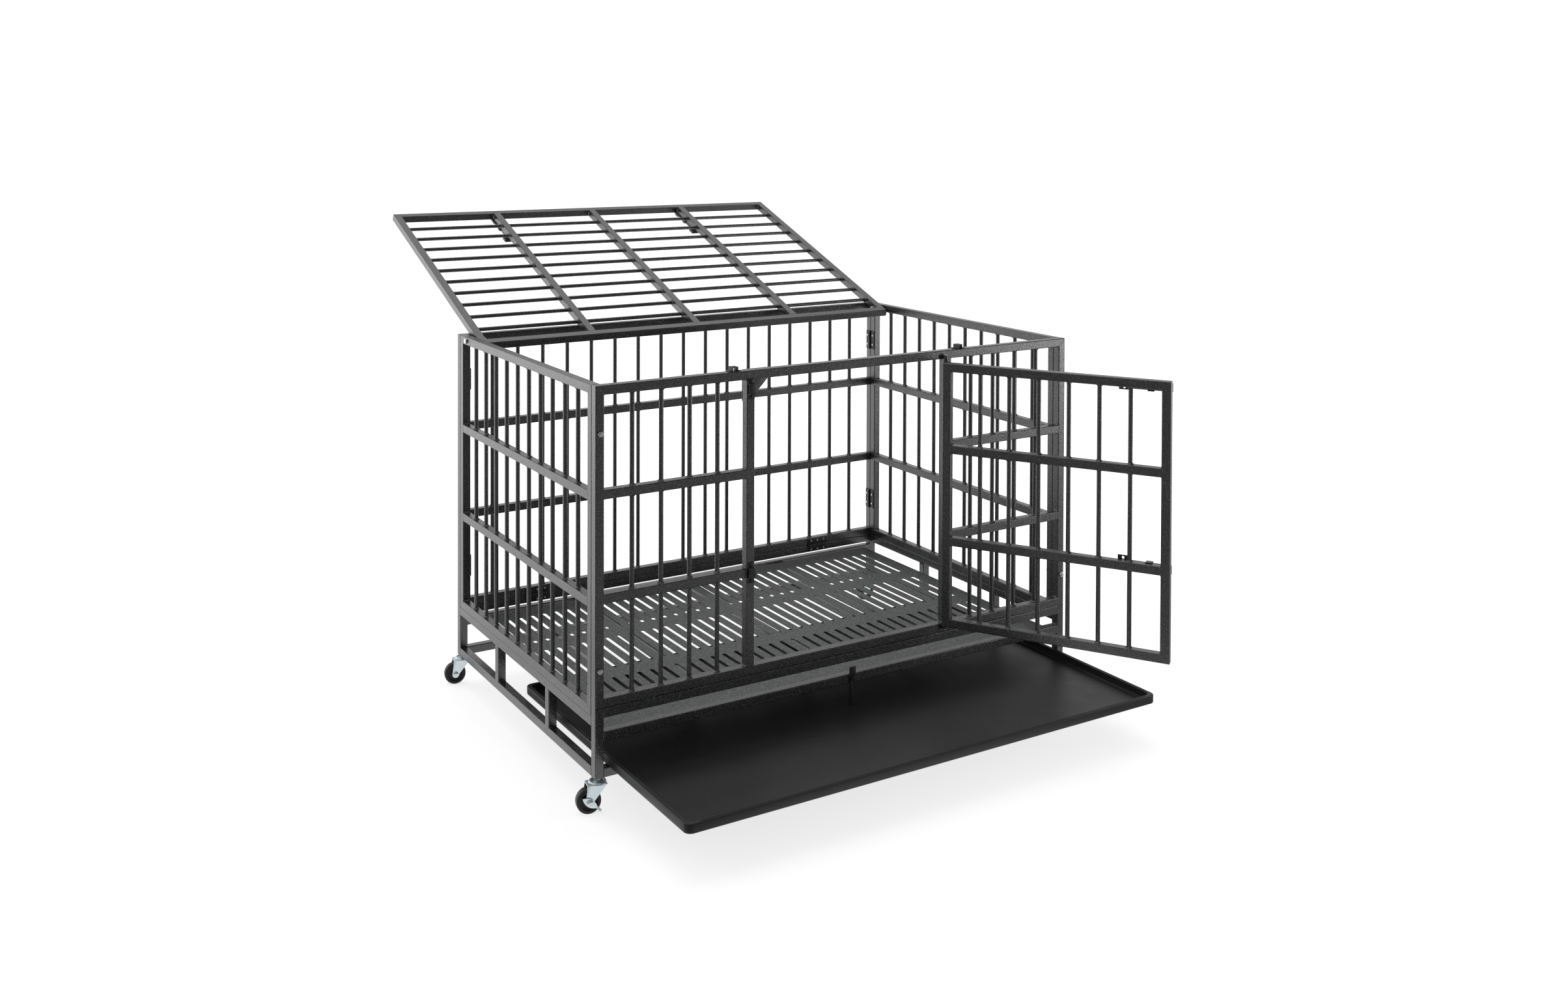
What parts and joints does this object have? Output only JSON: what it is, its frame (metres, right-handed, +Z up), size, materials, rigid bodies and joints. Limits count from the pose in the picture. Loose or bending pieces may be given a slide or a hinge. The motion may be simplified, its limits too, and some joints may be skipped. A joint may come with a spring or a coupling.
{
  "type": "dog crate",
  "caption": "Heavy duty dog crate of welded square tube with round bars, on swivel casters, with a hinged front door, a swing-back lid, slide bolts and a pull-out tray",
  "frame": {"origin": "on the floor below the middle of the panels' outline", "axes": "X to the right, Y to the back, Z up; the door is in the front"},
  "size_m": [1.2644, 1.7682, 1.0836],
  "materials": {
    "frame_paint": "dark grey hammered paint",
    "floor_paint": "grey hammered paint",
    "black_fittings": "black paint",
    "zinc_plate": "bright zinc plate",
    "bright_steel": "plated steel",
    "wheel_rubber": "black rubber",
    "tray_plastic": "matte black plastic",
    "plug_plastic": "black plastic"
  },
  "bodies": {
    "frame": {"base_posts": "frame_paint", "base_bottom_rails": "frame_paint", "base_top_rails": "frame_paint", "floor_bars": "frame_paint", "side_struts": "frame_paint", "floor_supports": "frame_paint", "tray_runners": "frame_paint", "floor_panel": "floor_paint", "front_panel_frame": "frame_paint", "front_panel_rods": "frame_paint", "left_panel_frame": "frame_paint", "left_panel_rods": "frame_paint", "right_panel_frame": "frame_paint", "right_panel_rods": "frame_paint", "back_panel_frame": "frame_paint", "back_panel_rods": "frame_paint", "door_stop_plate": "frame_paint", "door_keepers": "black_fittings", "lid_keepers": "black_fittings", "corner_bolts": "bright_steel", "corner_nuts": "bright_steel", "panel_hinge_leaves": "black_fittings", "panel_hinge_pins": "bright_steel", "panel_hinge_rivets": "bright_steel", "frame_hinge_knuckles": "frame_paint", "door_hinge_pins": "bright_steel", "lid_pivot_bolts": "bright_steel", "lid_pivot_nuts": "bright_steel", "tray_stop_rivet": "black_fittings", "caster_plugs": "plug_plastic", "caster_stems": "bright_steel", "caster_cups": "zinc_plate"},
    "lid": {"lid_frame": "frame_paint", "lid_rods": "frame_paint", "lid_bolt_guides": "black_fittings"},
    "lid_bolt_left": {"lid_bolt_left": "black_fittings"},
    "lid_bolt_right": {"lid_bolt_right": "black_fittings"},
    "door": {"door_frame": "frame_paint", "door_rods": "frame_paint", "door_hinge_knuckles": "frame_paint", "door_bolt_guides": "black_fittings"},
    "door_bolt_upper": {"door_bolt_upper": "black_fittings"},
    "door_bolt_lower": {"door_bolt_lower": "black_fittings"},
    "tray": {"tray": "tray_plastic"},
    "tray_stop": {"tray_stop": "black_fittings"},
    "swivel_front_left": {"fork_front_left": "zinc_plate", "axle_front_left": "bright_steel"},
    "wheel_front_left": {"wheel_front_left": "wheel_rubber"},
    "brake_front_left": {"brake_front_left": "zinc_plate"},
    "swivel_front_right": {"fork_front_right": "zinc_plate", "axle_front_right": "bright_steel"},
    "wheel_front_right": {"wheel_front_right": "wheel_rubber"},
    "brake_front_right": {"brake_front_right": "zinc_plate"},
    "swivel_back_left": {"fork_back_left": "zinc_plate", "axle_back_left": "bright_steel"},
    "wheel_back_left": {"wheel_back_left": "wheel_rubber"},
    "swivel_back_right": {"fork_back_right": "zinc_plate", "axle_back_right": "bright_steel"},
    "wheel_back_right": {"wheel_back_right": "wheel_rubber"}
  },
  "joints": [
    {"name": "lid_swing", "type": "hinge", "parent": "frame", "child": "lid", "pos_m": [0, 0.3225, 0.8245], "axis": [-1, 0, 0], "range_deg": [-158.3, 0]},
    {"name": "lid_bolt_left_slide", "type": "slide", "parent": "lid", "child": "lid_bolt_left", "axis": [0, 0.9294, 0.369], "range_m": [0, 0.051]},
    {"name": "lid_bolt_right_slide", "type": "slide", "parent": "lid", "child": "lid_bolt_right", "axis": [0, 0.9294, 0.369], "range_m": [0, 0.051]},
    {"name": "door_swing", "type": "hinge", "parent": "frame", "child": "door", "pos_m": [0.2465, -0.389, 0.5], "axis": [0, 0, 1], "range_deg": [-122.7, 52]},
    {"name": "door_bolt_upper_slide", "type": "slide", "parent": "door", "child": "door_bolt_upper", "axis": [0.5402, -0.8415, 0], "range_m": [0, 0.036]},
    {"name": "door_bolt_lower_slide", "type": "slide", "parent": "door", "child": "door_bolt_lower", "axis": [0.5402, -0.8415, 0], "range_m": [0, 0.036]},
    {"name": "tray_slide", "type": "slide", "parent": "frame", "child": "tray", "axis": [0, 1, 0], "range_m": [-0.05, 0.3]},
    {"name": "tray_stop_turn", "type": "hinge", "parent": "frame", "child": "tray_stop", "pos_m": [0, -0.3839, 0.1475], "axis": [0, 1, 0], "range_deg": [-95, 95]},
    {"name": "swivel_front_left_turn", "type": "hinge", "parent": "frame", "child": "swivel_front_left", "pos_m": [-0.6005, -0.373, 0.058], "axis": [0, 0, 1], "continuous": true},
    {"name": "wheel_front_left_roll", "type": "hinge", "parent": "swivel_front_left", "child": "wheel_front_left", "pos_m": [-0.61869, -0.36963, 0.025], "axis": [-0.1822, -0.9833, 0], "continuous": true},
    {"name": "brake_front_left_press", "type": "hinge", "parent": "swivel_front_left", "child": "brake_front_left", "pos_m": [-0.61869, -0.36963, 0.025], "axis": [0.1822, 0.9833, 0], "range_deg": [0, 20]},
    {"name": "swivel_front_right_turn", "type": "hinge", "parent": "frame", "child": "swivel_front_right", "pos_m": [0.6005, -0.373, 0.058], "axis": [0, 0, 1], "continuous": true},
    {"name": "wheel_front_right_roll", "type": "hinge", "parent": "swivel_front_right", "child": "wheel_front_right", "pos_m": [0.58231, -0.36963, 0.025], "axis": [-0.1822, -0.9833, 0], "continuous": true},
    {"name": "brake_front_right_press", "type": "hinge", "parent": "swivel_front_right", "child": "brake_front_right", "pos_m": [0.58231, -0.36963, 0.025], "axis": [0.1822, 0.9833, 0], "range_deg": [0, 20]},
    {"name": "swivel_back_left_turn", "type": "hinge", "parent": "frame", "child": "swivel_back_left", "pos_m": [-0.6005, 0.373, 0.058], "axis": [0, 0, 1], "continuous": true},
    {"name": "wheel_back_left_roll", "type": "hinge", "parent": "swivel_back_left", "child": "wheel_back_left", "pos_m": [-0.61869, 0.37637, 0.025], "axis": [-0.1822, -0.9833, 0], "continuous": true},
    {"name": "swivel_back_right_turn", "type": "hinge", "parent": "frame", "child": "swivel_back_right", "pos_m": [0.6005, 0.373, 0.058], "axis": [0, 0, 1], "continuous": true},
    {"name": "wheel_back_right_roll", "type": "hinge", "parent": "swivel_back_right", "child": "wheel_back_right", "pos_m": [0.58231, 0.37637, 0.025], "axis": [-0.1822, -0.9833, 0], "continuous": true}
  ]
}
